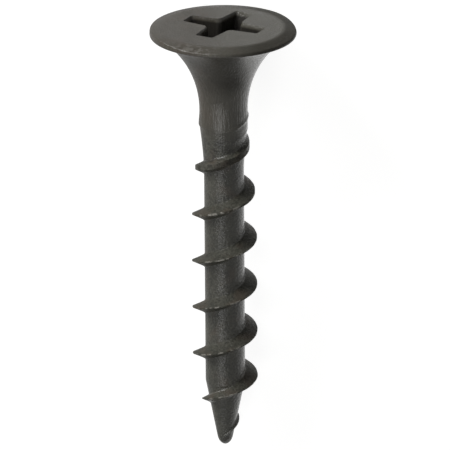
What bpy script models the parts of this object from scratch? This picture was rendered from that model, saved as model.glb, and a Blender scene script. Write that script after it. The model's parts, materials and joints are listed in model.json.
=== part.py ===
"""Drywall screw, 3.5 x 25 mm, with a bugle head, a cross recess and a coarse thread.

The screw is one piece of steel wire: the head is forged, the recess is punched in it, and
the thread and the point are rolled. It is modelled upright, with its axis on Z and the flat
top of the head at Z = 0, and is then laid on its side as it comes to rest on a flat surface:
on the rim of its head and on the thread's crest near the point. The head points to +Y and
the point to -Y, and the origin is under the middle of the screw, on the surface it lies on.
Depths are measured along the axis from the top of the head. Units are metres.
"""

from math import atan2, cos, pi, radians, sin, tan

import bmesh
import bpy
from mathutils import Matrix

MM = 0.001

# Whole screw
LENGTH = 25.2 * MM

# Bugle head: a low rim over two hollow curves, the tight lip and the long bugle
HEAD_DIAMETER = 8.30 * MM
RIM_HEIGHT = 0.45 * MM
RIM_TOP_ROUND = 0.22 * MM
RIM_LOWER_ROUND = 0.10 * MM
BUGLE_RADIUS = 5.5 * MM
BUGLE_ANGLE = radians(45)
LIP_ANGLE = radians(80)

# Straight shank under the head, and the core that rolling leaves under the thread
SHANK_DIAMETER = 2.74 * MM
SHANK_LENGTH = 0.9 * MM
CORE_DIAMETER = 2.27 * MM
CORE_BLEND = 2.7 * MM
BLEND_POWER = 1.5
POINT_LENGTH = 4.0 * MM
TIP_DIAMETER = 0.86 * MM

# Single-start right-hand thread, nine turns to the inch
THREAD_DIAMETER = 3.71 * MM
PITCH = 25.4 / 9 * MM
FLANK_ANGLE = radians(53)
CREST_WIDTH = 0.05 * MM
THREAD_DELAY = 0.57 * MM
START_ANGLE = radians(75)
RUN_IN = 6.2 * MM
CREST_TAPER_LENGTH = 4.2 * MM
CREST_TIP_DIAMETER = 0.50 * MM
RIDGE_SINK = 0.22 * MM

# Cross recess
RECESS_SPAN = 4.9 * MM
RECESS_DEPTH = 2.4 * MM
WING_TIP_WIDTH = 1.22 * MM
WEB_DISTANCE = 0.90 * MM
RECESS_TURN = radians(59)
PUNCH_CLEARANCE = 0.3 * MM
# Top, shoulder and nose of the punch: shares of the depth, span, wing width and web distance
PUNCH_LEVELS = ((0.0, 1.0, 1.0, 1.0), (0.85, 0.6, 0.77, 0.77), (1.0, 0.3, 0.5, 0.4))

# Facets: the blank's are coarser, because the screw lies on a flat of its rim
BLANK_STEPS = 32
THREAD_STEPS = 48
ROUND_STEPS = 4
LOWER_ROUND_STEPS = 3
LIP_STEPS = 5
BUGLE_STEPS = 8
BLEND_STEPS = 6
MERGE = 0.001 * MM

TILT_ROUNDS = 12

STEEL_COLOUR = (0.048, 0.047, 0.042, 1.0)
STEEL_ROUGHNESS = 0.55
STEEL_METALLIC = 0.7


def arc(centre_r, centre_z, radius, start, end, count):
    """Points of an arc in the profile plane, angles from +R towards +Z, ends included."""
    step = (end - start) / count
    angles = [start + step * i for i in range(count + 1)]
    return [(centre_r + radius * cos(a), centre_z + radius * sin(a)) for a in angles]


def lip_radius():
    """The radius that carries the bugle curve from its main arc out to the rim."""
    reach = HEAD_DIAMETER / 2 - RIM_LOWER_ROUND * (1 - cos(LIP_ANGLE)) - SHANK_DIAMETER / 2
    reach -= BUGLE_RADIUS * (1 - cos(BUGLE_ANGLE))
    return reach / (cos(BUGLE_ANGLE) - cos(LIP_ANGLE))


def neck_depth():
    """Depth at which the bugle curve has run out into the straight shank."""
    lip = lip_radius() * (sin(LIP_ANGLE) - sin(BUGLE_ANGLE))
    return RIM_HEIGHT + lip + BUGLE_RADIUS * sin(BUGLE_ANGLE)


def shank_end():
    """Depth at which the straight shank gives way to the rolled stretch."""
    return neck_depth() + SHANK_LENGTH


def core_radius(depth):
    """Radius of the rolled core between the thread's turns, down to the tip."""
    core, shank, tip = CORE_DIAMETER / 2, SHANK_DIAMETER / 2, TIP_DIAMETER / 2
    to_core = min(max(1 - (depth - shank_end()) / CORE_BLEND, 0), 1)
    taper = tip + (core - tip) * (LENGTH - tip - depth) / (POINT_LENGTH - tip)
    return min(core + (shank - core) * to_core ** BLEND_POWER, taper)


def risen_radius(depth):
    """Radius to which the thread has risen out of the shank."""
    full, shank = THREAD_DIAMETER / 2, SHANK_DIAMETER / 2
    to_full = max(1 - (depth - shank_end() - THREAD_DELAY) / RUN_IN, 0)
    return full - (full - shank) * to_full * to_full


def crest_radius(depth):
    """Radius of the thread's crest: it rises out of the shank and runs down to the tip."""
    full, tip = THREAD_DIAMETER / 2, CREST_TIP_DIAMETER / 2
    to_tip = min((LENGTH - depth) / CREST_TAPER_LENGTH, 1)
    return min(risen_radius(depth), tip + (full - tip) * to_tip)


def blank_profile():
    """Half outline of the screw without its thread and recess, from the head to the tip."""
    rim, shank, tip = HEAD_DIAMETER / 2, SHANK_DIAMETER / 2, TIP_DIAMETER / 2
    points = [(0, 0)]
    points += arc(rim - RIM_TOP_ROUND, -RIM_TOP_ROUND, RIM_TOP_ROUND, pi / 2, 0, ROUND_STEPS)
    corner_z = RIM_LOWER_ROUND * sin(LIP_ANGLE) - RIM_HEIGHT
    corner_r = rim - RIM_LOWER_ROUND
    points += arc(corner_r, corner_z, RIM_LOWER_ROUND, 0, -LIP_ANGLE, LOWER_ROUND_STEPS)
    # The lip and the bugle are hollow curves, so they turn round centres outside the steel
    lip, neck = lip_radius(), neck_depth()
    bugle_r, bugle_z = shank + BUGLE_RADIUS, -neck
    lip_r = bugle_r + (lip - BUGLE_RADIUS) * cos(BUGLE_ANGLE)
    lip_z = bugle_z + (BUGLE_RADIUS - lip) * sin(BUGLE_ANGLE)
    points += arc(lip_r, lip_z, lip, pi - LIP_ANGLE, pi - BUGLE_ANGLE, LIP_STEPS)[1:]
    points += arc(bugle_r, bugle_z, BUGLE_RADIUS, pi - BUGLE_ANGLE, pi, BUGLE_STEPS)[1:]
    blend = [shank_end() + CORE_BLEND * i / BLEND_STEPS for i in range(BLEND_STEPS + 1)]
    blend.append(LENGTH - POINT_LENGTH)
    points += [(core_radius(depth), -depth) for depth in blend]
    points += arc(0, tip - LENGTH, tip, 0, -pi / 2, ROUND_STEPS)[:-1]
    points.append((0, -LENGTH))
    return points


def linked(obj, collection):
    """Put an object in a collection and give it back."""
    collection.objects.link(obj)
    return obj


def turned(name, profile, collection):
    """A solid of revolution about Z, from a half outline that runs from top to bottom."""
    mesh = bpy.data.meshes.new(name)
    edges = [(i, i + 1) for i in range(len(profile) - 1)]
    mesh.from_pydata([(r, 0, z) for r, z in profile], edges, [])
    obj = linked(bpy.data.objects.new(name, mesh), collection)
    screw = obj.modifiers.new("turning", "SCREW")
    screw.axis = "Z"
    screw.angle = 2 * pi
    screw.steps = screw.render_steps = BLANK_STEPS
    screw.use_merge_vertices = True
    screw.merge_threshold = MERGE
    screw.use_smooth_shade = True
    # Half a step of turn puts a flat of the rim, and not a corner, under the screw
    obj.rotation_euler.z = pi / BLANK_STEPS
    return obj


def lofted(name, rings, collection):
    """A closed solid skinned over rings of equally many points, with both ends capped."""
    bm = bmesh.new()
    loops = [[bm.verts.new(point) for point in ring] for ring in rings]
    count = len(rings[0])
    for near, far in zip(loops, loops[1:]):
        for i in range(count):
            j = (i + 1) % count
            bm.faces.new((near[i], near[j], far[j], far[i]))
    bm.faces.new(reversed(loops[0]))
    bm.faces.new(loops[-1])
    bmesh.ops.recalc_face_normals(bm, faces=bm.faces)
    mesh = bpy.data.meshes.new(name)
    bm.to_mesh(mesh)
    bm.free()
    obj = linked(bpy.data.objects.new(name, mesh), collection)
    obj.hide_render = True
    obj.display_type = "WIRE"
    return obj


def thread_ridge(collection):
    """The thread as a ridge wound round the core, sunk a little way into it.

    Its section is a blunt wedge. The crest height changes along the helix, and where it is
    lower than the core the ridge is buried, so the thread fades out at both of its ends. Where
    it has not risen fully its flanks stand as they do elsewhere, so that its crest is broad.
    """
    top = shank_end() + THREAD_DELAY
    bottom = LENGTH - TIP_DIAMETER / 2 - CREST_WIDTH
    sections = []
    for i in range(int((bottom - top) / PITCH * THREAD_STEPS) + 1):
        angle = START_ANGLE - 2 * pi * i / THREAD_STEPS
        depth = top + PITCH * i / THREAD_STEPS
        foot = core_radius(depth) - RIDGE_SINK
        crest = max(crest_radius(depth), foot + RIDGE_SINK / 2)
        missing = THREAD_DIAMETER / 2 - risen_radius(depth)
        half_crest = CREST_WIDTH / 2 + missing * tan(FLANK_ANGLE / 2)
        half_foot = half_crest + (crest - foot) * tan(FLANK_ANGLE / 2)
        wedge = [(foot, -half_foot), (crest, -half_crest), (crest, half_crest), (foot, half_foot)]
        sections.append([(r * cos(angle), r * sin(angle), z - depth) for r, z in wedge])
    return lofted("thread_ridge", sections, collection)


def cross_outline(span, wing_width, web):
    """A four-winged outline, as X and Y: narrow wing ends, and webs between the wings."""
    points = []
    for wing in range(4):
        turn = RECESS_TURN + wing * pi / 2
        reach, half = span / 2, wing_width / 2
        corners = [(reach, -half), (reach, half), (web * cos(pi / 4), web * sin(pi / 4))]
        points += [(x * cos(turn) - y * sin(turn), x * sin(turn) + y * cos(turn)) for x, y in corners]
    return points


def cross_punch(collection):
    """The punch that leaves the cross recess: its wings run in steeply to a blunt nose."""
    sizes = (RECESS_DEPTH, RECESS_SPAN, WING_TIP_WIDTH, WEB_DISTANCE)
    levels = [[size * share for size, share in zip(sizes, level)] for level in PUNCH_LEVELS]
    # Above the head the punch goes on at the slope of its upper stretch
    rise = PUNCH_CLEARANCE / levels[1][0]
    levels.insert(0, [top + (top - low) * rise for top, low in zip(levels[0], levels[1])])
    rings = []
    for depth, *outline in levels:
        rings.append([(x, y, -depth) for x, y in cross_outline(*outline)])
    return lofted("cross_punch", rings, collection)


def combined(obj, operand, operation):
    """Add a Boolean modifier to an object, with another object as its operand."""
    boolean = obj.modifiers.new(operand.name, "BOOLEAN")
    boolean.operation = operation
    boolean.solver = "EXACT"
    boolean.object = operand


def steel():
    """Black phosphated steel."""
    material = bpy.data.materials.new("black_phosphated_steel")
    material.use_nodes = True
    shader = material.node_tree.nodes["Principled BSDF"]
    shader.inputs["Base Color"].default_value = STEEL_COLOUR
    shader.inputs["Roughness"].default_value = STEEL_ROUGHNESS
    shader.inputs["Metallic"].default_value = STEEL_METALLIC
    return material


def outer_points(obj):
    """The finished object's corner points in world space."""
    graph = bpy.context.evaluated_depsgraph_get()
    evaluated = obj.evaluated_get(graph)
    return [evaluated.matrix_world @ v.co for v in evaluated.to_mesh().vertices]


def rest_tilt(points):
    """Tilt of the axis when the upright screw lies over on its +Y side.

    The surface touches the lowest point of the head and the lowest point of the thread, and
    which points those are depends on the tilt, so the tilt is found in a few rounds.
    """
    head = [p for p in points if p.z > -RIM_HEIGHT - MERGE]
    thread = [p for p in points if p.z < -shank_end()]
    tilt = 0.0
    for _ in range(TILT_ROUNDS):
        rim, crest = [
            max(side, key=lambda p: p.y * cos(tilt) - p.z * sin(tilt)) for side in (head, thread)
        ]
        tilt = atan2(rim.y - crest.y, rim.z - crest.z)
    return tilt


def laid_down(screw, carrier):
    """Turn the upright screw on its side by its carrier, with the origin under its middle."""
    points = outer_points(screw)
    turn = Matrix.Rotation(rest_tilt(points) - pi / 2, 4, "X")
    points = [turn @ p for p in points]
    low = [min(p[axis] for p in points) for axis in range(3)]
    high = [max(p[axis] for p in points) for axis in range(3)]
    middle = ((low[0] + high[0]) / 2, (low[1] + high[1]) / 2, low[2])
    carrier.matrix_world = Matrix.Translation([-c for c in middle]) @ turn


def collection_named(name):
    """A new collection in the scene."""
    collection = bpy.data.collections.new(name)
    bpy.context.scene.collection.children.link(collection)
    return collection


def build():
    """Model the screw upright, then lay it down."""
    for obj in list(bpy.data.objects):
        bpy.data.objects.remove(obj, do_unlink=True)
    parts = collection_named("drywall_screw")
    cutters = collection_named("forming_tools")
    screw = turned("drywall_screw", blank_profile(), parts)
    ridge = thread_ridge(cutters)
    punch = cross_punch(cutters)
    combined(screw, ridge, "UNION")
    combined(screw, punch, "DIFFERENCE")
    screw.data.materials.append(steel())
    bpy.context.view_layer.update()
    carrier = linked(bpy.data.objects.new("rest_pose", None), parts)
    laid_down(screw, carrier)
    for obj in (screw, ridge, punch):
        obj.parent = carrier
    bpy.context.view_layer.update()


build()
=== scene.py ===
"""Looks of a black phosphated drywall screw: its fine mesh, its finish and a plain studio.

The screw is modelled upright, with the middle of the head's flat top at the origin and the point
towards -Z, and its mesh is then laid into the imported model's frame, where it rests on its side.
Depths run down the axis from the top of the head, and angles run round it from +X. Units are metres,
except in the finish, whose patterns and fades are in millimetres.
"""

import json
import logging
from contextlib import contextmanager
from dataclasses import dataclass, field
from enum import Enum
from itertools import pairwise
from math import atan2, cos, exp, floor, pi, radians, sin, sqrt, tan
from typing import Callable, Iterator

import bmesh
import bpy
from mathutils import Matrix, Vector, noise


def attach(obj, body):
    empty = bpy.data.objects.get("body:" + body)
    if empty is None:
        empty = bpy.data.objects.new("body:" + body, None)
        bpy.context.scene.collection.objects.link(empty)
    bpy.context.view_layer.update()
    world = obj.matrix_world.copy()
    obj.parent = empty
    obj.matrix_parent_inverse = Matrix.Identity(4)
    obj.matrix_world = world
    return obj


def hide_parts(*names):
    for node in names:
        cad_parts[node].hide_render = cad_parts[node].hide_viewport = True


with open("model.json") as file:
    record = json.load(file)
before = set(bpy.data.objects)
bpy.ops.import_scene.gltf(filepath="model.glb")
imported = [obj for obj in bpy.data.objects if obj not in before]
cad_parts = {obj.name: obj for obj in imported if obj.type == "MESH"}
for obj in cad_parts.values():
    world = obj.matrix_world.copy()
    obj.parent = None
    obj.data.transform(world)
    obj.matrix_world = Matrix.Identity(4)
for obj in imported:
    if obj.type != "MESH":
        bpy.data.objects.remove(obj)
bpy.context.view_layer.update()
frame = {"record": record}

log = logging.getLogger("drywall_screw")

Object = bpy.types.Object
Tree = bpy.types.NodeTree
Socket = bpy.types.NodeSocket
Pair = tuple[float, float]
Level = tuple[float, float, float, float]

MM = 0.001
COLUMNS = 192
MERGE = 0.001 * MM
NODE = "drywall_screw"
# EDGE names the attribute with the share of rubbed metal and painted glint.
EDGE = "bare_and_glint_edge"
UPRIGHT = "upright_mm"

# Numbers of a Mix node's sockets, whose names repeat for each type of data.
FACTOR, FIRST_VALUE, SECOND_VALUE, FIRST_COLOUR, SECOND_COLOUR = 0, 2, 3, 6, 7
MIXED_VALUE, MIXED_COLOUR = 0, 2


class Parts(Enum):
    """The parts of a mesh that can be picked, by the name of the list that holds them."""

    VERTICES = "verts"
    EDGES = "edges"
    FACES = "faces"

    @property
    def mode(self) -> str:
        """Edit mode's word for these parts."""
        return self.value[:-1].upper()


def linear(code: str) -> tuple[float, float, float, float]:
    """Turn an sRGB hex colour into the linear one that a shader takes.

    Args:
        code: six hex digits, with or without a hash sign before them.

    Returns:
        Red, green, blue and a full alpha.
    """
    digits = code.lstrip("#")
    parts = [int(digits[i:i + 2], 16) / 255 for i in (0, 2, 4)]
    red, green, blue = [p / 12.92 if p <= 0.04045 else ((p + 0.055) / 1.055) ** 2.4 for p in parts]
    return red, green, blue, 1.0


def blend(low: float, high: float, value: float) -> float:
    """Ease from 0 at the low limit to 1 at the high one.

    Args:
        low: the value where the rise begins.
        high: the value where the rise ends.
        value: the value to place between them.

    Returns:
        A share from 0 to 1.
    """
    share = min(max((value - low) / (high - low), 0), 1)
    return share * share * (3 - 2 * share)


def add_node(
    tree: Tree, kind: str,
    settings: dict[str | int, object] | None = None, links: dict[str | int, Socket] | None = None,
) -> bpy.types.Node:
    """Add one shader node with its settings and the links into it.

    Args:
        tree: the node tree that takes the node.
        kind: the node's type name.
        settings: values by name; lower-case names are the node's own, the others its sockets.
        links: source sockets by the name or number of the socket they feed.

    Returns:
        The new node.
    """
    node = tree.nodes.new(kind)
    for name, value in (settings or {}).items():
        if isinstance(name, str) and name[0].islower():
            setattr(node, name, value)
        else:
            node.inputs[name].default_value = value
    for name, source in (links or {}).items():
        tree.links.new(source, node.inputs[name])
    return node


@contextmanager
def editing(obj: Object, parts: Parts = Parts.VERTICES) -> Iterator[None]:
    """Hold one object in edit mode, with nothing else and nothing in its mesh selected.

    Args:
        obj: the mesh object to edit.
        parts: what is selected in it.

    Yields:
        Nothing; the object stays in edit mode until the block ends.
    """
    bpy.ops.object.select_all(action="DESELECT")
    obj.select_set(True)
    bpy.context.view_layer.objects.active = obj
    bpy.ops.object.mode_set(mode="EDIT")
    bpy.ops.mesh.select_mode(type=parts.mode)
    bpy.ops.mesh.select_all(action="DESELECT")
    yield
    bpy.ops.object.mode_set(mode="OBJECT")


def pick(obj: Object, parts: Parts, test: Callable[[object], bool]) -> None:
    """Select the vertices, edges or faces of the edited mesh that pass a test, and no others.

    Args:
        obj: the object in edit mode.
        parts: which of its parts are looked at.
        test: takes one of them and says whether it is selected.
    """
    mesh = bmesh.from_edit_mesh(obj.data)
    bpy.ops.mesh.select_all(action="DESELECT")
    for part in getattr(mesh, parts.value):
        if test(part):
            part.select_set(True)
    bmesh.update_edit_mesh(obj.data)


def at_height(vertex: bmesh.types.BMVert, height: float) -> bool:
    """Whether a vertex lies at a height."""
    return abs(vertex.co.z - height) < MERGE


def on_diagonal(vertex: bmesh.types.BMVert) -> bool:
    """Whether a vertex lies midway between the X and Y directions."""
    return abs(abs(vertex.co.x) - abs(vertex.co.y)) < MERGE


def is_upright(edge: bmesh.types.BMEdge) -> bool:
    """Whether an edge runs from one height to another."""
    return abs(edge.verts[0].co.z - edge.verts[1].co.z) > MERGE


def starting_vertex(name: str, place: Vector) -> Object:
    """Start a mesh from a single vertex: a plane that is merged to its middle.

    Args:
        name: the new object's name.
        place: where the vertex goes.

    Returns:
        The object, which sits at the origin.
    """
    bpy.ops.object.select_all(action="DESELECT")
    bpy.ops.mesh.primitive_plane_add(size=MM)
    obj = bpy.context.object
    obj.name = obj.data.name = name
    with editing(obj):
        bpy.ops.mesh.select_all(action="SELECT")
        bpy.ops.mesh.merge(type="CENTER")
        bpy.ops.mesh.select_all(action="SELECT")
        bpy.ops.transform.translate(value=place)
    return obj


def arc(middle: Vector, radius: float, start: float, end: float, count: int) -> list[Vector]:
    """Points of an arc in the profile plane, as radius and height.

    Args:
        middle: the arc's centre.
        radius: the arc's radius.
        start: the first angle, from outwards towards up.
        end: the last angle.
        count: how many steps lie between them.

    Returns:
        The points from start to end, both included.
    """
    angles = [start + (end - start) * i / count for i in range(count + 1)]
    return [middle + radius * Vector((cos(a), sin(a))) for a in angles]


@dataclass
class CrossRecess:
    """The cross-shaped drive recess, cut with a punch that has its shape.

    Its shoulder and its nose are each a share of the depth, followed by the factors that the span,
    the wings' width and the web's distance have there.
    """

    span: float = 4.62 * MM
    depth: float = 2.4 * MM
    wing_tip_width: float = 0.95 * MM
    web_distance: float = 0.88 * MM
    aside: Pair = (0.07 * MM, 0.48 * MM)
    turn: float = radians(61)
    clearance: float = 0.3 * MM
    corner_round: float = 0.10 * MM
    corner_steps: int = 3
    web_round: float = 0.26 * MM
    web_steps: int = 6
    mouth_round: float = 0.20 * MM
    mouth_steps: int = 5
    shoulder: Level = (0.85, 0.6, 0.77, 0.77)
    nose: Level = (1.0, 0.3, 0.5, 0.4)

    @property
    def levels(self) -> list[Level]:
        """Levels at which the punch is drawn in or out, from the nose up.

        The walls run in from the mouth to the shoulder and the blunt nose, and flare at the mouth.

        Returns:
            Each level's height, and its factors of the span, the wings' width and the web.
        """
        levels = [(-share * self.depth, *factors) for share, *factors in (self.nose, self.shoulder)]
        for step in range(self.mouth_steps + 1):
            angle = pi / 2 * step / self.mouth_steps
            out = self.mouth_round * (1 - cos(angle))
            span, wings = 2 * out / self.span, 2 * out / self.wing_tip_width
            web = sqrt(2) * out / self.web_distance
            levels.append((self.mouth_round * (sin(angle) - 1), 1 + span, 1 + wings, 1 + web))
        levels.append((self.clearance, *levels[-1][1:]))
        return levels

    def is_web(self, vertex: bmesh.types.BMVert) -> bool:
        """Whether a vertex is a web's corner, at a level that isn't drawn in yet."""
        return on_diagonal(vertex) and vertex.co.xy.length < self.web_distance + MERGE

    def draw_level(self, punch: Object, level: Level) -> None:
        """Draw the punch in or out at one height.

        Args:
            punch: the punch, in edit mode.
            level: the height and the factors of the span, the wings' width and the web there.
        """
        height, span, width, web = level
        groups = (
            (lambda v: not self.is_web(v) and abs(v.co.x) > abs(v.co.y), (span, width, 1)),
            (lambda v: not self.is_web(v) and abs(v.co.y) > abs(v.co.x), (width, span, 1)),
            (self.is_web, (web, web, 1)),
        )
        for belongs, factors in groups:
            pick(punch, Parts.VERTICES, lambda v: at_height(v, height) and belongs(v))
            bpy.ops.transform.resize(value=factors, center_override=(0, 0, height))

    def punch(self) -> Object:
        """Model the punch: a square core, four wings pulled out of it, drawn in at each level.

        Returns:
            The punch, standing in the head where it cuts.
        """
        side = self.web_distance * sqrt(2)
        levels = self.levels
        bottom, top = levels[0][0], levels[-1][0]
        middle = (bottom + top) / 2
        bpy.ops.object.select_all(action="DESELECT")
        bpy.ops.mesh.primitive_cube_add(size=1)
        punch = bpy.context.object
        punch.name = "recess_punch"
        with editing(punch, Parts.FACES):
            bpy.ops.mesh.select_all(action="SELECT")
            bpy.ops.transform.resize(value=(side, side, top - bottom), center_override=(0, 0, 0))
            bpy.ops.transform.translate(value=(0, 0, middle))
            for way in (Vector((1, 0, 0)), Vector((-1, 0, 0)), Vector((0, 1, 0)), Vector((0, -1, 0))):
                core_side = way * side / 2 + Vector((0, 0, middle))
                pick(punch, Parts.FACES, lambda f: (f.calc_center_median() - core_side).length < MERGE)
                reach = way * (self.span - side) / 2
                bpy.ops.mesh.extrude_region_move(TRANSFORM_OT_translate={"value": reach})
                narrow = self.wing_tip_width / side
                across = (1, narrow, 1) if way.x else (narrow, 1, 1)
                bpy.ops.transform.resize(value=across, center_override=(0, 0, 0))
            for height, *_ in levels[1:-1]:
                bpy.ops.mesh.select_all(action="SELECT")
                bpy.ops.mesh.bisect(plane_co=(0, 0, height), plane_no=(0, 0, 1))
        with editing(punch):
            for level in levels:
                self.draw_level(punch, level)
        with editing(punch, Parts.EDGES):
            pick(punch, Parts.EDGES, lambda e: is_upright(e) and not all(map(on_diagonal, e.verts)))
            bpy.ops.mesh.bevel(offset=self.corner_round, segments=self.corner_steps, affect="EDGES")
            pick(punch, Parts.EDGES, lambda e: is_upright(e) and all(map(on_diagonal, e.verts)))
            bpy.ops.mesh.bevel(offset=self.web_round, segments=self.web_steps, affect="EDGES")
        punch.data.transform(Matrix.Translation((*self.aside, 0)) @ Matrix.Rotation(self.turn, 4, "Z"))
        return punch

    def cut(self, head: Object) -> None:
        """Punch the recess in the head.

        Args:
            head: the closed, upright head.
        """
        punch = self.punch()
        cutting = head.modifiers.new("recess", "BOOLEAN")
        cutting.operation = "DIFFERENCE"
        cutting.solver = "EXACT"
        cutting.object = punch
        bpy.context.view_layer.objects.active = head
        bpy.ops.object.modifier_apply(modifier=cutting.name)
        bpy.data.objects.remove(punch)


@dataclass
class BugleHead:
    """The head: flat top, sloping shoulder, low rim, and two hollow curves down into the shank."""

    diameter: float = 8.30 * MM
    rim_height: float = 0.45 * MM
    rim_top_round: float = 0.13 * MM
    rim_lower_round: float = 0.10 * MM
    bugle_radius: float = 5.5 * MM
    bugle_angle: float = radians(45)
    lip_angle: float = radians(80)
    shank_diameter: float = 2.74 * MM
    round_steps: int = 8
    lip_steps: int = 14
    bugle_steps: int = 26

    # The shoulder slopes round one way, over its reach to both sides, and is filled elsewhere.
    shoulder_width: float = 0.80 * MM
    shoulder_slope: float = radians(20)
    shoulder_round: float = 0.80 * MM
    shoulder_way: float = radians(35)
    shoulder_reach: float = radians(50)
    shoulder_fill: float = 0.9
    fill_power: int = 4

    # The rim is rubbed on its upper round, between two heights, over part of the way round.
    rub_and_glint_way: float = radians(-24)
    rub_and_glint_reach: float = radians(22)
    rubbed_run: float = 0.4 * MM
    rubbed_heights: Pair = (-0.30 * MM, -0.18 * MM)
    rubbed_share: float = 0.3

    recess: CrossRecess = field(default_factory=CrossRecess)

    @property
    def lip_radius(self) -> float:
        """Work out the tight curve under the rim from what the bugle's curve leaves it.

        Returns:
            The curve's radius.
        """
        reach = (self.diameter - self.shank_diameter) / 2 - self.rim_lower_round * (1 - cos(self.lip_angle))
        reach -= self.bugle_radius * (1 - cos(self.bugle_angle))
        return reach / (cos(self.bugle_angle) - cos(self.lip_angle))

    @property
    def neck_depth(self) -> float:
        """Depth at which the head has run out into the shank."""
        lip = self.lip_radius * (sin(self.lip_angle) - sin(self.bugle_angle))
        return self.rim_height + lip + self.bugle_radius * sin(self.bugle_angle)

    def profile(self) -> list[Vector]:
        """Draw half the head's outline, from the edge of the flat top down to the shank.

        Returns:
            The outline's points, as radius and height.
        """
        rim, top, low = self.diameter / 2, self.rim_top_round, self.rim_lower_round
        slope = pi / 2 - self.shoulder_slope
        middle = Vector((rim - self.shoulder_width, -self.shoulder_round))
        points = arc(middle, self.shoulder_round, pi / 2, slope, self.round_steps // 2)
        run = rim - top + top * cos(slope) - points[-1].x
        height = points[-1].y - run / tan(slope) - top * sin(slope)
        points += arc(Vector((rim - top, height)), top, slope, 0, self.round_steps)
        corner = Vector((rim - low, low * sin(self.lip_angle) - self.rim_height))
        points += arc(corner, low, 0, -self.lip_angle, self.round_steps)
        bugle = Vector((self.shank_diameter / 2 + self.bugle_radius, -self.neck_depth))
        inwards = Vector((cos(pi - self.bugle_angle), sin(pi - self.bugle_angle)))
        lip = bugle + (self.bugle_radius - self.lip_radius) * inwards
        points += arc(lip, self.lip_radius, pi - self.lip_angle, pi - self.bugle_angle, self.lip_steps)[1:]
        points += arc(bugle, self.bugle_radius, pi - self.bugle_angle, pi, self.bugle_steps)[1:]
        return points

    def build(self) -> Object:
        """Model the head, open towards the shank.

        Returns:
            The upright head with its recess.
        """
        outline = self.profile()
        radius, height = outline[0]
        foot = outline[-1].y
        bpy.ops.object.select_all(action="DESELECT")
        bpy.ops.mesh.primitive_circle_add(vertices=COLUMNS, radius=radius, fill_type="NGON")
        head = bpy.context.object
        head.name = head.data.name = "phosphated_screw"
        with editing(head, Parts.EDGES):
            bpy.ops.mesh.select_all(action="SELECT")
            bpy.ops.mesh.delete(type="ONLY_FACE")
            bpy.ops.mesh.select_all(action="SELECT")
            for upper, lower in pairwise(outline):
                drop = (0, 0, lower.y - upper.y)
                bpy.ops.mesh.extrude_region_move(TRANSFORM_OT_translate={"value": drop})
                wider = lower.x / upper.x
                bpy.ops.transform.resize(value=(wider, wider, 1), center_override=(0, 0, lower.y))
            bpy.ops.mesh.edge_face_add()
            reach = radius + MERGE
            pick(head, Parts.EDGES,
                 lambda e: all(at_height(v, height) and v.co.xy.length < reach for v in e.verts))
            bpy.ops.mesh.edge_face_add()
            bpy.ops.mesh.select_all(action="SELECT")
            bpy.ops.mesh.normals_make_consistent(inside=False)
        self.fill_shoulder(head)
        self.recess.cut(head)
        with editing(head, Parts.FACES):
            pick(head, Parts.FACES,
                 lambda f: f.normal.z < 0 and abs(f.calc_center_median().z - foot) < MERGE)
            bpy.ops.mesh.delete(type="ONLY_FACE")
        return head

    def fill_shoulder(self, head: Object) -> None:
        """Lift the shoulder at the back of the head, where the edge has stayed full.

        Args:
            head: the upright head, before the recess is punched.
        """
        foot_of_rim_round = self.round_steps // 2 + self.round_steps + 1
        depth = -self.profile()[foot_of_rim_round].y
        for vertex in head.data.vertices:
            x, y, z = vertex.co
            around = abs((atan2(x, -y) - self.shoulder_way + pi) % (2 * pi) - pi)
            if z > -depth:
                full = self.shoulder_fill * blend(self.shoulder_reach, 2 * self.shoulder_reach, around)
                vertex.co.z = z * (1 - full * (1 - (z / depth) ** self.fill_power))

    def rub(self, head: Object) -> None:
        """Note where the rim is rubbed: on its upper round, over part of the way round.

        Args:
            head: the upright head.
        """
        rubbed = head.data.attributes.new(EDGE, "FLOAT", "POINT")
        flat = self.diameter / 2 - self.shoulder_width
        for vertex in head.data.vertices:
            x, y, z = vertex.co
            around = abs(atan2(x, -y) - self.rub_and_glint_way)
            upper = blend(flat, flat + self.rubbed_run, sqrt(x * x + y * y)) * blend(*self.rubbed_heights, z)
            side = blend(self.rub_and_glint_reach, self.rub_and_glint_reach / 2, around)
            rubbed.data[vertex.index].value = self.rubbed_share * upper * side


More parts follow.
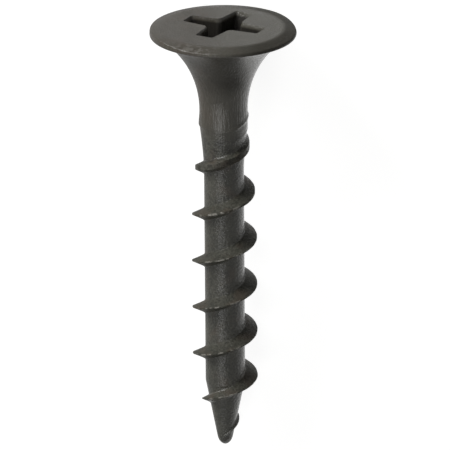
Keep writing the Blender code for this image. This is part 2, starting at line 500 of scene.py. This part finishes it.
@dataclass
class RolledShank:
    """The shank, its rolled core, the thread and the point, as one surface wound on a helix."""

    top: float
    shank_diameter: float
    length: float = 25.3 * MM
    shank_length: float = 0.9 * MM

    core_diameter: float = 2.27 * MM
    core_blend: float = 2.7 * MM
    blend_power: float = 1.5

    point_length: float = 4.0 * MM
    point_lean: float = -0.03 * MM
    tip_diameter: float = 0.86 * MM
    tip_reach: float = 0.62 * MM
    tip_swell: float = 0.06

    thread_diameter: float = 3.71 * MM
    pitch: float = 25.4 / 9 * MM
    flank_angle: float = radians(53)
    crest_width: float = 0.06 * MM
    root_round: float = 0.10 * MM
    thread_delay: float = 0.57 * MM
    start_angle: float = radians(75)
    run_in: float = 6.2 * MM
    crest_taper_length: float = 4.2 * MM
    crest_tip_diameter: float = 0.50 * MM
    crest_wobble: float = 0.012 * MM
    wobble_scale: float = 9

    # The crest's bright strip, where it stands proud, is partly rubbed metal and partly a painted glint, most
    # of all towards one way.
    rub_and_glint_way: float = radians(262)
    rub_and_glint_reach: Pair = (radians(50), radians(25))
    rub_and_glint_rise: Pair = (0.35 * MM, 0.6 * MM)
    rub_and_glint_width: float = 0.022 * MM
    least_rub_and_glint: float = 0.3

    # Each mark of the rolling dies, from the lowest up: its reach to each side, its share of the height.
    marks: tuple[Pair, ...] = ((radians(115), 0.45), (radians(75), 1.0), (radians(75), 1.0))
    mark_way: float = radians(-15)
    mark_fade: float = radians(35)
    mark_drop: float = 0.2 * MM
    mark_spacing: float = 0.8 * MM
    mark_width: float = 0.10 * MM
    mark_height: float = 0.055 * MM
    mark_start: float = 0.25 * MM
    step_reach: Pair = (radians(75), radians(30))
    step_run: float = 0.9 * MM
    step_width: float = 0.05 * MM
    step_height: float = 0.05 * MM
    step_wave: float = 0.03 * MM
    wave_scale: float = 3

    rows: int = 48
    row_bunching: float = 1.4
    turns_above: int = 2
    turns_below: int = 3

    @property
    def shank_end(self) -> float:
        """Depth at which the straight shank gives way to the rolled stretch."""
        return self.top + self.shank_length

    @property
    def thread_start(self) -> float:
        """Depth at which the thread begins to rise out of the shank."""
        return self.shank_end + self.thread_delay

    def core_radius(self, depth: float) -> float:
        """Work out the radius between the thread's turns, down to the round tip.

        Args:
            depth: depth down the axis.

        Returns:
            The radius there.
        """
        core, shank, tip = self.core_diameter / 2, self.shank_diameter / 2, self.tip_diameter / 2
        ball = self.length - tip
        past = (depth - self.length + self.tip_reach) / self.tip_reach
        swell = 1 + self.tip_swell * (1 - past)
        nose = tip * swell * sqrt(max(1 - past * past, 0)) if past > 0 else shank
        to_core = min(max(1 - (depth - self.shank_end) / self.core_blend, 0), 1)
        taper = tip + (core - tip) * (ball - depth) / (self.point_length - tip)
        return min(core + (shank - core) * to_core ** self.blend_power, max(taper, tip), nose)

    def crest_radius(self, depth: float) -> float:
        """Work out the radius of the thread's crest.

        Args:
            depth: depth down the axis.

        Returns:
            The radius there.
        """
        full, shank, tip = self.thread_diameter / 2, self.shank_diameter / 2, self.crest_tip_diameter / 2
        to_full = max(1 - (depth - self.thread_start) / self.run_in, 0)
        rising = full - (full - shank) * to_full * to_full
        return min(rising, tip + (full - tip) * min((self.length - depth) / self.crest_taper_length, 1))

    def rolling_marks(self, angle: float, depth: float) -> float:
        """Height of the marks that the rolling dies left where they first took hold.

        Faint ridges run parallel to the thread round the front and right of the shank, and a
        step crosses its left side.

        Args:
            angle: angle round the axis, from 0 to a full turn.
            depth: depth down the axis.

        Returns:
            How far the surface stands out from the plain shank, in metres.
        """
        turned = (angle + pi / 2) % (2 * pi) - pi / 2
        along = depth + self.pitch * turned / (2 * pi)
        height = 0.0
        for order, (reach, share) in enumerate(self.marks):
            place = self.shank_end + self.mark_drop - order * self.mark_spacing
            ridge = exp(-((along - place) / self.mark_width) ** 2)
            window = blend(reach, reach - self.mark_fade, abs(turned - self.mark_way))
            height += self.mark_height * ridge * window * share
        left = blend(*self.step_reach, abs(angle - pi))
        wave = Vector((cos(angle) * self.wave_scale, sin(angle) * self.wave_scale, 0))
        edge = self.shank_end + self.step_wave * noise.noise(wave)
        near = blend(self.step_run, 0, abs(depth - edge))
        height += self.step_height * left * near * blend(self.step_width, -self.step_width, depth - edge)
        return height

    def section_offset(self, row: int) -> float:
        """Work out where a row of the thread's section lies.

        Args:
            row: the row, 0 on the crest's middle and negative towards the head.

        Returns:
            Its distance along the axis from the crest's middle.
        """
        half, crest = self.rows // 2, self.crest_width / 2
        if abs(row) <= 1:
            return crest * row
        share = ((abs(row) - 1) / (half - 1)) ** self.row_bunching
        return (crest + (self.pitch / 2 - crest) * share) * (1 if row > 0 else -1)

    def rub_and_glint_share(self, angle: float, rise: float, slant: float) -> float:
        """Work out the crest's share of rubbed metal and painted glint.

        Args:
            angle: angle round the axis, from 0 to a full turn.
            rise: how far the crest stands above the core.
            slant: how far below the crest the point lies on the flank.

        Returns:
            A share from 0 to 1.
        """
        # The crest's strip is partly rubbed metal and partly a painted glint, strongest towards one way.
        towards = blend(*self.rub_and_glint_reach, abs(angle - self.rub_and_glint_way))
        rubbed = blend(*self.rub_and_glint_rise, rise) * (self.least_rub_and_glint + (1 - self.least_rub_and_glint) * towards)
        return rubbed * exp(-(slant / self.rub_and_glint_width) ** 2)

    def surface(self, angle: float, row: int, turn: int) -> tuple[float, float, float]:
        """Work out where one point of the wound grid lies on the real surface.

        Args:
            angle: the point's angle round the axis.
            row: its row in the thread's section, 0 on the crest.
            turn: the turn of thread that it belongs to.

        Returns:
            Its radius, its depth, and its share of rubbed metal and painted glint, from 0 to 1.
        """
        wound = (self.start_angle - angle) / (2 * pi) + turn
        crest_depth = self.thread_start + self.pitch * wound
        offset = self.section_offset(row)
        depth = max(crest_depth + offset, self.top)
        nose = self.length - self.tip_reach
        if depth > nose:
            depth = nose + self.tip_reach * sin(min((depth - nose) / self.tip_reach, pi / 2))
        marks = self.rolling_marks(angle, depth) * blend(self.top, self.top + self.mark_start, depth)
        core = self.core_radius(depth) + marks
        place = Vector((cos(angle), sin(angle), wound * 2.0))
        crest = self.crest_radius(min(crest_depth, self.length))
        crest += self.crest_wobble * noise.noise(place * self.wobble_scale)
        cut_back = self.thread_diameter / 2 - crest if crest_depth < self.shank_end + self.run_in else 0
        lean = tan(self.flank_angle / 2)
        half_crest = self.crest_width / 2 + max(cut_back, 0) * lean
        slant = max(abs(offset) - half_crest, 0) / lean
        flank = crest - slant
        near = max(self.root_round - abs(core - flank), 0) / self.root_round
        radius = max(core, flank) + near * near * self.root_round / 4
        if depth > nose:
            radius = core
        return radius, depth, self.rub_and_glint_share(angle, crest - core, slant)

    def build(self) -> Object:
        """Model the shank: one pitch of outline, wound with a Screw modifier, then shaped.

        Returns:
            The upright shank, open towards the head.
        """
        step = self.pitch / self.rows
        start = self.thread_start + self.pitch * (self.start_angle / (2 * pi) - self.turns_above)
        shank = starting_vertex("shank", Vector((self.core_diameter / 2, 0, -start)))
        with editing(shank):
            bpy.ops.mesh.select_all(action="SELECT")
            for _ in range(self.rows):
                bpy.ops.mesh.extrude_region_move(TRANSFORM_OT_translate={"value": (0, 0, -step)})
        winding = shank.modifiers.new("winding", "SCREW")
        winding.axis = "Z"
        winding.angle = -2 * pi
        winding.steps = winding.render_steps = COLUMNS
        winding.screw_offset = -self.pitch
        winding.iterations = int((self.length - start) / self.pitch) + self.turns_below
        winding.use_merge_vertices = True
        winding.merge_threshold = MERGE
        bpy.ops.object.modifier_apply(modifier=winding.name)
        edge = shank.data.attributes.new(EDGE, "FLOAT", "POINT")
        for vertex in shank.data.vertices:
            angle = atan2(vertex.co.y, vertex.co.x) % (2 * pi)
            lead = -vertex.co.z - self.thread_start
            index = round((lead - self.pitch * (self.start_angle - angle) / (2 * pi)) / step)
            turn = floor(index / self.rows + 0.5)
            # The last value is the crest's share of rubbed metal and painted glint.
            radius, depth, bare = self.surface(angle, index - turn * self.rows, turn)
            lean = self.point_lean * blend(self.length - self.point_length, self.length, depth)
            vertex.co = (radius * cos(angle) + lean, radius * sin(angle), -depth)
            edge.data[vertex.index].value = bare
        return shank


@dataclass
class Resting:
    """How the screw lies: the head's place and the axis's direction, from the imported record."""

    face_offset: float = 3.1 * MM
    head: Vector = field(init=False)
    turn: Matrix = field(init=False)

    def __post_init__(self) -> None:
        """Read the mount on the head's face, which lies off the axis, towards the front."""
        mount = frame["record"]["mounts"][0]
        axis = Vector(mount["axis"])
        tilt = atan2(axis.z, axis.y)
        self.turn = Matrix.Rotation(tilt - pi / 2, 4, "X")
        self.head = Vector(mount["pos_m"]) + self.turn @ Vector((0, self.face_offset, 0))

    @property
    def matrix(self) -> Matrix:
        """The matrix from the upright screw to the one that lies."""
        return Matrix.Translation(self.head) @ self.turn


class Tone(Enum):
    """Colours of the coating, and of its painted shade, sheen and glint, as sRGB hex digits."""

    DARK = "#3b3b35"
    # Pale flecks, also used for the painted sheen towards the right.
    PALE = "#605f56"
    BROWN = "#5a5147"
    WARM = "#554a3f"
    # Rubbed metal, also used for the painted glint on the crest.
    BARE = "#a09d95"
    # Die scuffs, also used for painted shade in the recess, under the rim and on the right of the rim.
    SOOTY = "#292724"


class Reading(Enum):
    """What is read at a point of the upright screw: places in millimetres, and its share of rubbed metal and
    painted glint on the edges.

    The cone is the distance from the axis plus what the recess's walls have run in by at that
    height, so it is one value all down a wall.
    """

    ACROSS = "across"
    HEIGHT = "height"
    RADIUS = "radius"
    CONE = "cone"
    EDGE = "edge"


Readings = dict[Reading, Socket]


@dataclass(frozen=True)
class Fade:
    """A share that rises evenly from nothing at one reading to full at another."""

    reading: Reading
    none: float
    full: float

    @property
    def limits(self) -> dict[str, float]:
        """The two readings, as a Map Range node takes them."""
        return {"From Min": self.none, "From Max": self.full}


@dataclass(frozen=True)
class Grain:
    """An uneven pattern: its size in millimetres, and the noise values that become 0 and 1."""

    size: float
    low: float
    high: float
    detail: float = 3.0

    def lay(self, tree: Tree, place: Socket) -> Socket:
        """Add the pattern to a material.

        Args:
            tree: the material's node tree.
            place: the coordinates, in millimetres.

        Returns:
            The socket with a share from 0 to 1.
        """
        settings = {"Scale": 1 / self.size, "Detail": self.detail}
        spots = add_node(tree, "ShaderNodeTexNoise", settings, {"Vector": place})
        limits = {"From Min": self.low, "From Max": self.high}
        return add_node(tree, "ShaderNodeMapRange", limits, {"Value": spots.outputs["Fac"]}).outputs["Result"]


@dataclass(frozen=True)
class Layer:
    """A colour laid over part of the coating, or a part that keeps less oil, or both."""

    tone: Tone | None = None
    share: float = 1.0
    dry: float = 0.0
    fades: tuple[Fade, ...] = ()
    grain: Grain | None = None

    def mask(self, tree: Tree, place: Socket, readings: Readings) -> Socket:
        """Mark where the layer lies: where all of its fades and its grain meet.

        Args:
            tree: the material's node tree.
            place: the coordinates, in millimetres.
            readings: the sockets with what is read at each point.

        Returns:
            The socket with a share from 0 to 1.
        """
        shares = []
        for fade in self.fades:
            ramp = add_node(tree, "ShaderNodeMapRange", fade.limits, {"Value": readings[fade.reading]})
            shares.append(ramp.outputs["Result"])
        if self.grain:
            shares.append(self.grain.lay(tree, place))
        mask = shares[0]
        for share in shares[1:]:
            mask = add_node(tree, "ShaderNodeMath", {"operation": "MULTIPLY"}, {0: mask, 1: share}).outputs[0]
        return mask


ABOVE_THREAD = Fade(Reading.HEIGHT, -6.6, -5.2)
TO_THE_RIGHT = Fade(Reading.ACROSS, -1.2, 0.3)


@dataclass(frozen=True)
class PhosphateFinish:
    """Black zinc phosphate on cold-forged steel wire, with an oil film.

    The coating is a felt of dark crystals a few hundredths of a millimetre long, too fine for the
    picture, so its mottle is drawn as flecks of an eighth of a millimetre. The drawn wire leaves
    streaks along the shank, handling rubs the rim bare, the crest's bright strip is partly rubbed
    metal and partly a painted glint, and the coating is brownish in patches. Painted shade darkens
    the recess, the neck under the rim and the right of the rim, and a painted sheen lightens the head
    and the shank towards the right. The oil gives it a soft gloss, except where it has run off or
    been soaked up.
    """

    name: str = "black_zinc_phosphate"
    specular: float = 0.10
    roughness: Pair = (0.42, 0.62)
    flecks: Grain = Grain(size=0.13, low=0.36, high=0.66, detail=4.0)
    patches: Grain = Grain(size=1.1, low=0.38, high=0.66)
    patch_share: float = 0.35
    streaks: Grain = Grain(size=0.09, low=0.35, high=0.68)
    streak_scale: tuple[float, float, float] = (1.0, 1.0, 0.12)
    relief: float = 0.8
    relief_depth: float = 0.018 * MM
    oil: float = 1.0
    least_oil: float = 0.12
    oil_roughness: float = 0.16
    oil_ior: float = 1.4
    recess_lean: float = 0.42
    layers: tuple[Layer, ...] = (
        # The coating is brownish in patches, and warmer where the wire was drawn and not rolled.
        Layer(Tone.BROWN, share=0.5, grain=Grain(size=0.9, low=0.52, high=0.68, detail=1.0)),
        Layer(Tone.WARM, share=0.4, fades=(ABOVE_THREAD,)),
        # The dies scuffed the first turn, where the thread rises out of the shank.
        Layer(Tone.SOOTY, share=0.6, grain=Grain(size=0.42, low=0.5, high=0.6, detail=4.0),
              fades=(Fade(Reading.HEIGHT, -5.9, -6.5), Fade(Reading.HEIGHT, -9.2, -8.2))),
        # Handling rubs the rim bare; the crest's bright strip is partly rubbed metal and partly a painted
        # glint, left out at the tip.
        Layer(Tone.BARE, grain=Grain(size=0.3, low=0.46, high=0.58),
              fades=(Fade(Reading.EDGE, 0.0, 1.0), Fade(Reading.HEIGHT, -23.6, -23.0))),
        # A painted sheen lightens the head and the shank towards the right.
        Layer(Tone.PALE, share=0.55, fades=(ABOVE_THREAD, TO_THE_RIGHT)),
        # Painted shade darkens the neck under the rim, a little right of the middle, where the coating is
        # also dull.
        Layer(Tone.SOOTY, share=0.6, dry=0.8,
              fades=(Fade(Reading.HEIGHT, -3.9, -2.9), Fade(Reading.HEIGHT, -0.4, -0.8),
                     TO_THE_RIGHT, Fade(Reading.ACROSS, 1.5, 0.8))),
        # Below the mouth of the recess, painted shade darkens the walls, and the coating there is dull.
        Layer(Tone.SOOTY, share=0.88, dry=1.0,
              fades=(Fade(Reading.CONE, 2.94, 2.92), Fade(Reading.HEIGHT, -0.17, -0.27))),
        # The thread's flanks and foot keep little oil.
        Layer(dry=1.0, fades=(Fade(Reading.RADIUS, 1.18, 1.35), Fade(Reading.HEIGHT, -6.6, -7.2))),
        Layer(dry=1.0, fades=(Fade(Reading.RADIUS, 1.14, 1.18), Fade(Reading.HEIGHT, -8.6, -8.9))),
        # Painted shade darkens the right of the rim, which is also dry.
        Layer(Tone.SOOTY, share=0.45, dry=1.0,
              fades=(Fade(Reading.RADIUS, 3.35, 3.6), Fade(Reading.ACROSS, -0.5, 2.0))),
    )

    def readings(self, tree: Tree, place: Socket) -> Readings:
        """Add the nodes that read what the fades go by.

        Args:
            tree: the material's node tree.
            place: the coordinates, in millimetres.

        Returns:
            A socket for each reading.
        """
        parts = add_node(tree, "ShaderNodeSeparateXYZ", {}, {0: place})
        height = parts.outputs["Z"]
        flat = add_node(tree, "ShaderNodeVectorMath", {"operation": "MULTIPLY", 1: (1, 1, 0)}, {0: place})
        length = add_node(tree, "ShaderNodeVectorMath", {"operation": "LENGTH"}, {0: flat.outputs[0]})
        radius = length.outputs["Value"]
        run_in = {"operation": "MULTIPLY_ADD", 1: -self.recess_lean}
        return {
            Reading.ACROSS: parts.outputs["X"],
            Reading.HEIGHT: height,
            Reading.RADIUS: radius,
            Reading.CONE: add_node(tree, "ShaderNodeMath", run_in, {0: height, 2: radius}).outputs[0],
            Reading.EDGE: add_node(tree, "ShaderNodeAttribute", {"attribute_name": EDGE}).outputs["Fac"],
        }

    def texture(self, tree: Tree, place: Socket, height: Socket) -> tuple[Socket, Socket]:
        """Add the fine pattern: the crystals' flecks, and drawn streaks in their place above the thread.

        Args:
            tree: the material's node tree.
            place: the coordinates, in millimetres.
            height: the height on the upright screw.

        Returns:
            The sockets with the flecks alone and with the whole pattern.
        """
        flecks = self.flecks.lay(tree, place)
        drawn = add_node(tree, "ShaderNodeMapping", {"Scale": self.streak_scale}, {"Vector": place})
        streaks = self.streaks.lay(tree, drawn.outputs["Vector"])
        above = add_node(tree, "ShaderNodeMapRange", ABOVE_THREAD.limits, {"Value": height})
        links = {FACTOR: above.outputs["Result"], FIRST_VALUE: flecks, SECOND_VALUE: streaks}
        return flecks, add_node(tree, "ShaderNodeMix", {"data_type": "FLOAT"}, links).outputs[MIXED_VALUE]

    def overlaid(
        self, tree: Tree, place: Socket, readings: Readings, colour: Socket
    ) -> tuple[Socket, Socket]:
        """Lay the layers over the coating one by one.

        Args:
            tree: the material's node tree.
            place: the coordinates, in millimetres.
            readings: the sockets with what is read at each point.
            colour: the coating's own colour.

        Returns:
            The sockets with the colour and with how dry the surface is, from 0 to 1.
        """
        driest: dict[int, Socket] = {}
        for layer in self.layers:
            mask = layer.mask(tree, place, readings)
            if layer.tone:
                share = add_node(tree, "ShaderNodeMath", {"operation": "MULTIPLY", 1: layer.share}, {0: mask})
                settings = {"data_type": "RGBA", SECOND_COLOUR: linear(layer.tone.value)}
                links = {FACTOR: share.outputs[0], FIRST_COLOUR: colour}
                colour = add_node(tree, "ShaderNodeMix", settings, links).outputs[MIXED_COLOUR]
            if layer.dry:
                dry = add_node(tree, "ShaderNodeMath", {"operation": "MULTIPLY", 1: layer.dry}, {0: mask})
                links = {0: dry.outputs[0], **driest}
                most = add_node(tree, "ShaderNodeMath", {"operation": "MAXIMUM", 1: 0.0}, links)
                driest = {1: most.outputs[0]}
        return colour, driest[1]

    def material(self) -> bpy.types.Material:
        """Make the finish as a node material.

        Returns:
            The material.
        """
        material = bpy.data.materials.new(self.name)
        material.use_nodes = True
        tree = material.node_tree
        shader = tree.nodes["Principled BSDF"]
        shader.inputs["Specular IOR Level"].default_value = self.specular
        shader.inputs["Coat Roughness"].default_value = self.oil_roughness
        shader.inputs["Coat IOR"].default_value = self.oil_ior
        place = add_node(tree, "ShaderNodeAttribute", {"attribute_name": UPRIGHT}).outputs["Vector"]
        readings = self.readings(tree, place)
        flecks, texture = self.texture(tree, place, readings[Reading.HEIGHT])
        mottle = add_node(tree, "ShaderNodeMix", {"data_type": "FLOAT", FACTOR: self.patch_share},
                          {FIRST_VALUE: texture, SECOND_VALUE: self.patches.lay(tree, place)})
        tones = {FIRST_COLOUR: linear(Tone.DARK.value), SECOND_COLOUR: linear(Tone.PALE.value)}
        coating = add_node(tree, "ShaderNodeMix", {"data_type": "RGBA", **tones},
                           {FACTOR: mottle.outputs[MIXED_VALUE]})
        colour, dry = self.overlaid(tree, place, readings, coating.outputs[MIXED_COLOUR])
        oiled = {"To Min": self.oil, "To Max": self.least_oil}
        oil = add_node(tree, "ShaderNodeMapRange", oiled, {"Value": dry})
        low, high = self.roughness
        rough = add_node(tree, "ShaderNodeMapRange", {"To Min": low, "To Max": high}, {"Value": flecks})
        raised = {"Strength": self.relief, "Distance": self.relief_depth}
        relief = add_node(tree, "ShaderNodeBump", raised, {"Height": texture})
        sources = {
            "Base Color": colour,
            "Roughness": rough.outputs["Result"],
            "Normal": relief.outputs["Normal"],
            "Coat Weight": oil.outputs["Result"],
            "Coat Normal": relief.outputs["Normal"],
        }
        for name, source in sources.items():
            tree.links.new(source, shader.inputs[name])
        return material


@dataclass
class DrywallScrew:
    """The whole screw: head and shank joined into one closed mesh, dressed and laid down."""

    head: BugleHead = field(default_factory=BugleHead)
    finish: PhosphateFinish = field(default_factory=PhosphateFinish)
    resting: Resting = field(default_factory=Resting)
    crease: float = radians(32)
    tip_cap: float = 0.03 * MM

    def joined(self) -> Object:
        """Join the head and the shank at their common ring and close the seams.

        Returns:
            The upright screw, as one mesh.
        """
        head = self.head.build()
        self.head.rub(head)
        shank_shape = RolledShank(top=self.head.neck_depth, shank_diameter=self.head.shank_diameter)
        shank = shank_shape.build()
        bpy.ops.object.select_all(action="DESELECT")
        shank.select_set(True)
        head.select_set(True)
        bpy.context.view_layer.objects.active = head
        bpy.ops.object.join()
        tip = Vector((shank_shape.point_lean, 0, -shank_shape.length))
        with editing(head):
            pick(head, Parts.VERTICES, lambda v: (v.co - tip).length < self.tip_cap)
            bpy.ops.mesh.merge(type="CENTER")
            bpy.ops.mesh.select_all(action="SELECT")
            bpy.ops.mesh.remove_doubles(threshold=MERGE)
            bpy.ops.mesh.dissolve_degenerate(threshold=MERGE / 10)
            bpy.ops.mesh.normals_make_consistent(inside=False)
        return head

    def build(self) -> Object:
        """Model, dress and lay down the screw.

        Returns:
            The finished piece.
        """
        screw = self.joined()
        upright = screw.data.attributes.new(UPRIGHT, "FLOAT_VECTOR", "POINT")
        for vertex in screw.data.vertices:
            upright.data[vertex.index].vector = vertex.co / MM
        screw.data.transform(self.resting.matrix)
        bpy.ops.object.select_all(action="DESELECT")
        screw.select_set(True)
        bpy.context.view_layer.objects.active = screw
        bpy.ops.object.shade_smooth_by_angle(angle=self.crease)
        flats = screw.modifiers.new("flats", "WEIGHTED_NORMAL")
        flats.keep_sharp = True
        bpy.ops.object.modifier_apply(modifier=flats.name)
        screw.data.materials.clear()
        screw.data.materials.append(self.finish.material())
        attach(screw, "root")
        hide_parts(NODE)
        return screw


class Ray(Enum):
    """Kinds of ray that see the pale surround as a picture, by Light Path's names for them."""

    CAMERA = "Is Camera Ray"
    GLOSSY = "Is Glossy Ray"
    TRANSMISSION = "Is Transmission Ray"


@dataclass(frozen=True)
class Softbox:
    """A square area lamp that faces the screw."""

    name: str
    way: tuple[float, float, float]
    distance: float
    size: float
    watts: float

    def hang(self, target: Vector) -> None:
        """Hang the lamp.

        Args:
            target: the point that it faces.
        """
        lamp = bpy.data.lights.new(self.name, "AREA")
        lamp.size = self.size
        lamp.energy = self.watts
        holder = bpy.data.objects.new(self.name, lamp)
        bpy.context.scene.collection.objects.link(holder)
        way = Vector(self.way).normalized()
        holder.location = target + way * self.distance
        holder.rotation_euler = way.to_track_quat("Z", "Y").to_euler()


@dataclass
class Studio:
    """A pale table top, soft light and the camera."""

    resting: Resting
    screw_length: float = 25.2 * MM
    table_side: float = 1.6
    paper: str = "#b8b8b6"

    # Strength of the world as a light, of the world as gloss sees it, and of the paper to the camera.
    surround: float = 0.06
    backdrop: float = 0.6
    lift: float = 0.9

    # The paper's glow that gloss sees is a painted reflection: full strength at the right, up to the head,
    # and the unlit share elsewhere, so the screw's right edge reflects brighter.
    lit_paper: Pair = (-2.0 * MM, 2.0 * MM)
    unlit_paper: Pair = (13.5 * MM, 11.5 * MM)
    unlit_share: float = 0.24

    lamps: tuple[Softbox, ...] = (
        Softbox("key_softbox", way=(-0.68, 0.684, 0.265), distance=0.45, size=0.22, watts=1.55),
        Softbox("front_softbox", way=(-0.352, -0.438, 0.827), distance=0.45, size=0.18, watts=0.34),
    )

    # The camera stands as the photograph's did to the upright screw, and aims a little to one side.
    elevation: float = radians(20.381)
    roll: float = radians(0.3965)
    camera_distance: float = 0.4
    clip_start: float = 0.01
    pixels_per_mm: float = 17.558
    frame_pixels: int = 450
    sensor: float = 36.0
    aside: Pair = (-0.032 * MM, -0.6618 * MM)

    def pale_for(self, tree: Tree) -> Socket:
        """Add nodes that give 1 for the rays that see the surround and 0 for light.

        Args:
            tree: the node tree that takes them.

        Returns:
            The socket with the sum.
        """
        path = add_node(tree, "ShaderNodeLightPath")
        total = path.outputs[Ray.CAMERA.value]
        for ray in (Ray.GLOSSY, Ray.TRANSMISSION):
            links = {0: total, 1: path.outputs[ray.value]}
            total = add_node(tree, "ShaderNodeMath", {"operation": "ADD"}, links).outputs[0]
        return total

    def glow(self, tree: Tree) -> bpy.types.Node:
        """Add the paper's glow to the rays that see it, even to the camera and uneven to gloss.

        Args:
            tree: the paper's node tree.

        Returns:
            The emission node.
        """
        object_place = add_node(tree, "ShaderNodeTexCoord").outputs["Object"]
        place = add_node(tree, "ShaderNodeSeparateXYZ", {}, {0: object_place})
        across, along = [
            add_node(tree, "ShaderNodeMapRange", {"From Min": low, "From Max": high},
                     {"Value": place.outputs[axis]}).outputs[0]
            for axis, (low, high) in (("X", self.lit_paper), ("Y", self.unlit_paper))
        ]
        lit = add_node(tree, "ShaderNodeMath", {"operation": "MULTIPLY"}, {0: across, 1: along})
        shown = add_node(tree, "ShaderNodeMapRange", {"To Min": self.unlit_share}, {"Value": lit.outputs[0]})
        camera = add_node(tree, "ShaderNodeLightPath").outputs[Ray.CAMERA.value]
        even = add_node(tree, "ShaderNodeMix", {"data_type": "FLOAT", SECOND_VALUE: self.lift},
                        {FACTOR: camera, FIRST_VALUE: shown.outputs[0]})
        strength = add_node(tree, "ShaderNodeMath", {"operation": "MULTIPLY"},
                            {0: self.pale_for(tree), 1: even.outputs[MIXED_VALUE]})
        return add_node(tree, "ShaderNodeEmission", {}, {"Strength": strength.outputs[0]})

    def lay_table(self) -> Object:
        """Lay the pale paper that the screw rests on.

        Returns:
            The table top.
        """
        bpy.ops.object.select_all(action="DESELECT")
        bpy.ops.mesh.primitive_plane_add(size=self.table_side)
        table = bpy.context.object
        table.name = "paper_table"
        material = bpy.data.materials.new("matt_white_paper")
        material.use_nodes = True
        tree = material.node_tree
        tree.nodes.remove(tree.nodes["Principled BSDF"])
        diffuse = add_node(tree, "ShaderNodeBsdfDiffuse", {"Color": linear(self.paper)})
        links = {0: diffuse.outputs[0], 1: self.glow(tree).outputs[0]}
        both = add_node(tree, "ShaderNodeAddShader", {}, links)
        tree.links.new(both.outputs[0], tree.nodes["Material Output"].inputs["Surface"])
        table.data.materials.append(material)
        return table

    def light(self) -> None:
        """Set the pale surround, which is white to the camera, and hang the lamps."""
        world = bpy.data.worlds.new("studio")
        bpy.context.scene.world = world
        world.use_nodes = True
        tree = world.node_tree
        levels = {"data_type": "FLOAT", FIRST_VALUE: self.surround, SECOND_VALUE: self.backdrop}
        strength = add_node(tree, "ShaderNodeMix", levels, {FACTOR: self.pale_for(tree)})
        camera = add_node(tree, "ShaderNodeLightPath").outputs[Ray.CAMERA.value]
        white = add_node(tree, "ShaderNodeMath", {"operation": "MULTIPLY_ADD", 1: 1 - self.backdrop},
                         {0: camera, 2: strength.outputs[MIXED_VALUE]})
        tree.links.new(white.outputs[0], tree.nodes["Background"].inputs["Strength"])
        tree.nodes["Background"].inputs["Color"].default_value = (1, 1, 1, 1)
        middle = self.resting.matrix @ Vector((0, 0, -self.screw_length / 2))
        for lamp in self.lamps:
            lamp.hang(middle)

    def place_camera(self) -> None:
        """Place the camera at the photograph's angle to the screw."""
        lens = bpy.data.cameras.new("camera")
        lens.sensor_width = self.sensor
        focal_pixels = self.pixels_per_mm * self.camera_distance / MM
        lens.lens = focal_pixels * self.sensor / self.frame_pixels
        lens.clip_start = self.clip_start
        right = Vector((1, 0, 0))
        up = Vector((0, sin(self.elevation), cos(self.elevation)))
        back = right.cross(up)
        across = cos(self.roll) * right - sin(self.roll) * up
        along = sin(self.roll) * right + cos(self.roll) * up
        aim = Vector((0, 0, -self.screw_length / 2)) - self.aside[0] * across - self.aside[1] * along
        upright = Matrix((across, along, back)).transposed().to_4x4()
        upright.translation = aim + back * self.camera_distance
        camera = bpy.data.objects.new("camera", lens)
        bpy.context.scene.collection.objects.link(camera)
        camera.matrix_world = self.resting.matrix @ upright
        bpy.context.scene.camera = camera

    def build(self) -> None:
        """Set up the table, the light and the camera."""
        self.lay_table()
        self.light()
        self.place_camera()
        bpy.context.scene.view_settings.view_transform = "Standard"


def main() -> None:
    """Build the screw and the studio, and report each piece."""
    logging.basicConfig(level=logging.INFO, format="%(name)s: %(message)s")
    screw = DrywallScrew()
    piece = screw.build()
    log.info("%s has %d faces", piece.name, len(piece.data.polygons))
    Studio(resting=screw.resting).build()


if __name__ == "__main__":
    main()
